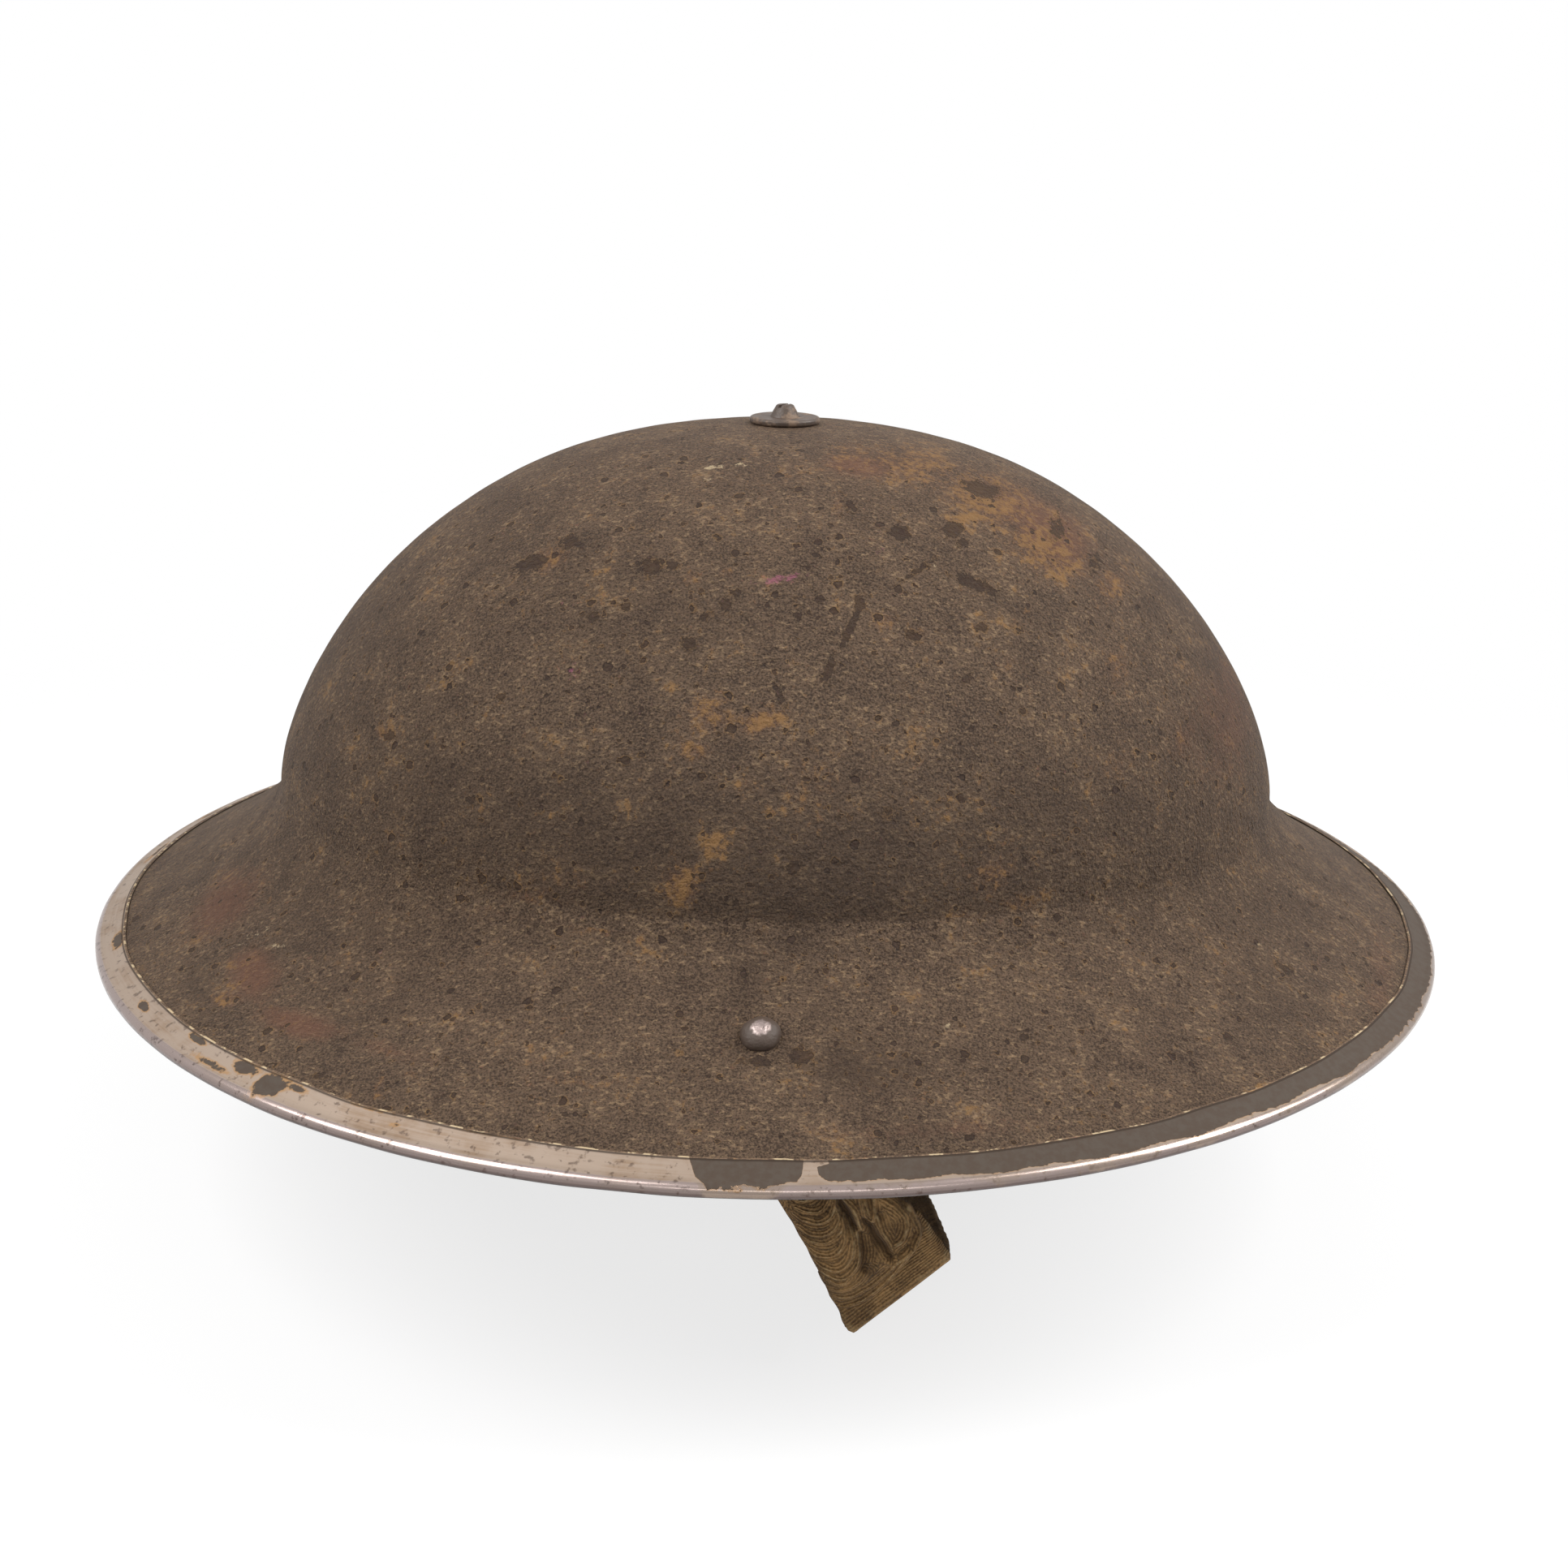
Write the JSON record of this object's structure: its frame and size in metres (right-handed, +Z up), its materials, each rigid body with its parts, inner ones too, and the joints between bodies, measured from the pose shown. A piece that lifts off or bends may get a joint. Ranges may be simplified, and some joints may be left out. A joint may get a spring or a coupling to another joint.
{
  "type": "brodie helmet",
  "caption": "Wide-brimmed pressed steel helmet with a folded rim band, a fibre liner on a crown screw, and a sprung webbing chin strap that swings on wire bails.",
  "frame": {"origin": "middle of the sweatband's lower edge, where the head goes in", "axes": "+X towards the front, +Y towards the wearer's left, +Z up through the crown"},
  "size_m": [0.3046, 0.2876, 0.1755],
  "materials": {
    "sanded_paint": "matt sanded dark brown-olive paint, pitted and rust-stained",
    "band_steel": "satin bare steel where worn, matt dark paint where kept",
    "painted_fitting": "matt paint, worn at edges",
    "rivet_steel": "dark paint worn bright on top",
    "dull_steel": "dull oxidised steel",
    "liner_fibre": "black vulcanised fibre",
    "oilcloth": "black oilcloth, cracked and creased",
    "pad_cloth": "worn dark cloth over felt",
    "rubber": "aged black rubber",
    "strap_cloth": "khaki-brown cotton webbing, soiled"
  },
  "bodies": {
    "helmet": {"shell": "sanded_paint", "rim_band": "band_steel", "crown_screw": "painted_fitting", "crown_washer": "painted_fitting", "crown_spacer": "rubber", "crown_plate": "dull_steel", "crown_nut": "dull_steel", "crown_strap_long": "liner_fibre", "crown_strap_cross": "liner_fibre", "crown_pad": "pad_cloth", "headband": "liner_fibre", "sweatband": "oilcloth", "liner_rivets": "dull_steel", "buffer_front_left": "rubber", "buffer_rear_left": "rubber", "buffer_rear_right": "rubber", "buffer_front_right": "rubber", "buffer_rivets": "dull_steel", "lug_rivets": "rivet_steel", "lug_left": "dull_steel", "lug_right": "dull_steel"},
    "bail_right": {"bail_right": "dull_steel"},
    "hook_right": {"hook_right": "dull_steel", "strap_rivet_right": "rivet_steel"},
    "chinstrap": {"sleeve_right": "strap_cloth", "springs_right": "dull_steel", "strap_webbing": "strap_cloth", "sleeve_left": "strap_cloth", "springs_left": "dull_steel"},
    "hook_left": {"hook_left": "dull_steel", "strap_rivet_left": "rivet_steel"},
    "bail_left": {"bail_left": "dull_steel"}
  },
  "joints": [
    {"name": "bail_right_swing", "type": "hinge", "parent": "helmet", "child": "bail_right", "pos_m": [-0.0015, -0.1019, 0.00393], "axis": [1, 0, 0], "range_deg": [-25, 25]},
    {"name": "bail_left_swing", "type": "hinge", "parent": "helmet", "child": "bail_left", "pos_m": [-0.0015, 0.1019, 0.00393], "axis": [1, 0, 0], "range_deg": [-25, 25]},
    {"name": "hook_right_pivot", "type": "hinge", "parent": "bail_right", "child": "hook_right", "pos_m": [-0.0015, -0.1019, -0.01007], "axis": [1, 0, 0], "range_deg": [-25, 25]},
    {"name": "chinstrap_swing", "type": "hinge", "parent": "hook_right", "child": "chinstrap", "pos_m": [-0.0015, -0.1019, -0.01907], "axis": [0, 1, 0], "range_deg": [-40, 95]},
    {"name": "hook_left_level", "type": "hinge", "parent": "chinstrap", "child": "hook_left", "pos_m": [-0.0015, 0.1019, -0.01907], "axis": [0, 1, 0], "range_deg": [-95, 40]}
  ],
  "couplings": [
    {"joint": "bail_left_swing", "follows": "bail_right_swing", "ratio": 1},
    {"joint": "hook_right_pivot", "follows": "bail_right_swing", "ratio": -1},
    {"joint": "hook_left_level", "follows": "chinstrap_swing", "ratio": -1}
  ]
}
